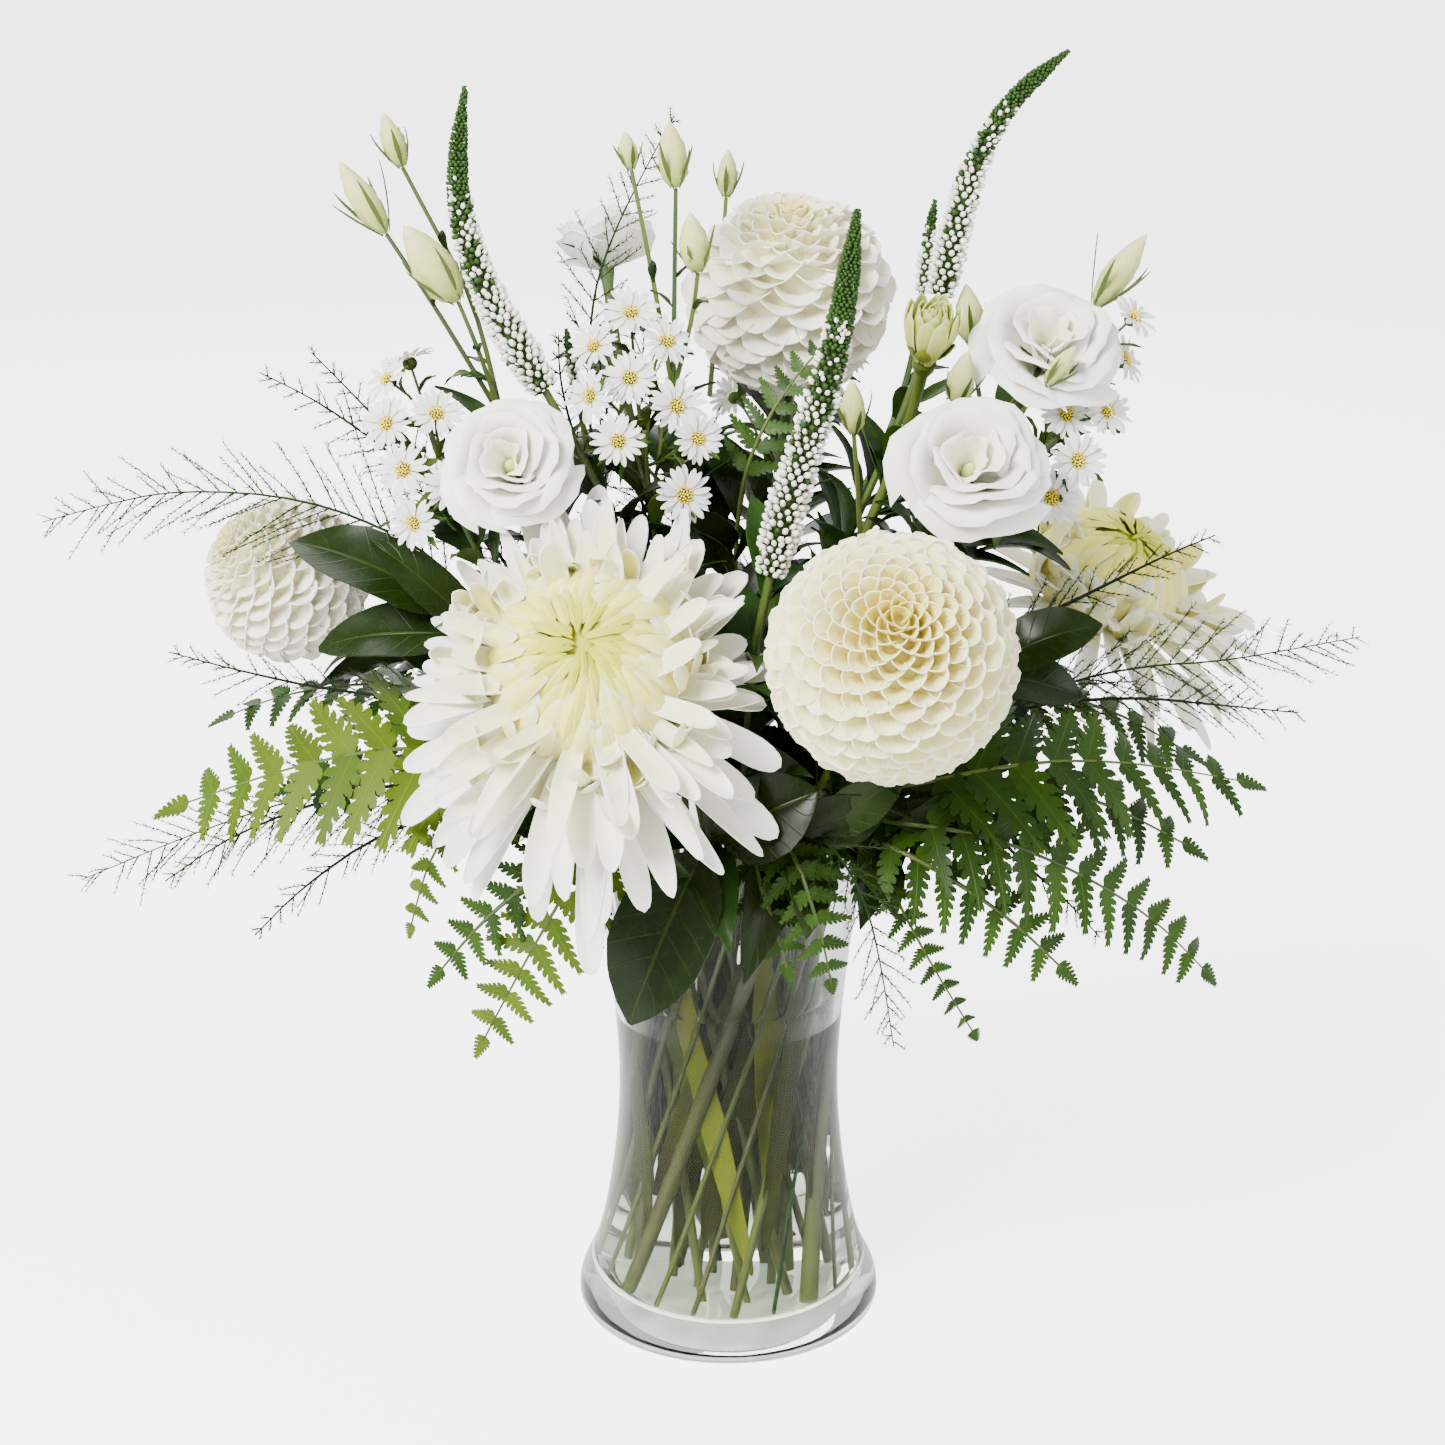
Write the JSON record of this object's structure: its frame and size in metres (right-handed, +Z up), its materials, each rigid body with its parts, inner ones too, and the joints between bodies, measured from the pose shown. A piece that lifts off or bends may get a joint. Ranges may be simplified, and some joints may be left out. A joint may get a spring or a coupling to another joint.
{
  "type": "vase of flowers",
  "caption": "Clear waisted glass vase of water holding a loose all-white bouquet of large blooms, spikes, small daisies, ferns and fine trailing sprays",
  "frame": {"origin": "centre of the vase underside, on the surface the vase stands on", "axes": "+Z up along the vase axis, -Y towards the front of the bouquet, +X to the right seen from the front"},
  "size_m": [0.5315, 0.3033, 0.5218],
  "materials": {
    "vase_glass": "gloss",
    "vase_water": "gloss",
    "flower_stem": "satin",
    "white_petal": "matte",
    "cream_petal": "matte",
    "pale_green_bud": "matte",
    "green_spike": "matte",
    "white_spike": "matte",
    "aster_white": "matte",
    "broad_leaf": "satin",
    "fern_leaf": "satin",
    "asparagus_green": "matte"
  },
  "bodies": {
    "root": {"asparagus_back": "asparagus_green", "asparagus_left": "asparagus_green", "asparagus_left_low": "asparagus_green", "asparagus_low": "asparagus_green", "asparagus_right": "asparagus_green", "asparagus_top": "asparagus_green", "aster_back": "aster_white", "aster_centre": "aster_white", "aster_left": "aster_white", "aster_right": "aster_white", "chrysanthemum_front": "white_petal", "chrysanthemum_front_stem": "flower_stem", "chrysanthemum_right": "white_petal", "chrysanthemum_right_stem": "flower_stem", "dahlia_bud": "pale_green_bud", "dahlia_bud_stem": "flower_stem", "dahlia_front": "cream_petal", "dahlia_front_stem": "flower_stem", "dahlia_left": "cream_petal", "dahlia_left_stem": "flower_stem", "dahlia_top": "cream_petal", "dahlia_top_stem": "flower_stem", "fern_back_left": "fern_leaf", "fern_back_right": "fern_leaf", "fern_centre": "fern_leaf", "fern_dark_left": "fern_leaf", "fern_folded": "fern_leaf", "fern_left": "fern_leaf", "fern_lower": "fern_leaf", "fern_right": "fern_leaf", "fern_right_low": "fern_leaf", "fern_small_left": "fern_leaf", "fern_top": "fern_leaf", "lisianthus_back": "white_petal", "lisianthus_back_stem": "flower_stem", "lisianthus_buds_centre": "pale_green_bud", "lisianthus_buds_left": "pale_green_bud", "lisianthus_buds_right": "pale_green_bud", "lisianthus_left": "white_petal", "lisianthus_left_stem": "flower_stem", "lisianthus_right": "white_petal", "lisianthus_right_stem": "flower_stem", "lisianthus_upper_right": "white_petal", "lisianthus_upper_right_stem": "flower_stem", "twig_back": "broad_leaf", "twig_centre": "broad_leaf", "twig_front": "broad_leaf", "twig_left": "broad_leaf", "twig_right": "broad_leaf", "vase": "vase_glass", "veronica_centre": "white_spike", "veronica_centre_stem": "flower_stem", "veronica_left": "white_spike", "veronica_left_stem": "flower_stem", "veronica_right": "white_spike", "veronica_right_stem": "flower_stem", "veronica_small_left": "green_spike", "veronica_small_right": "green_spike", "water": "vase_water"}
  },
  "joints": []
}
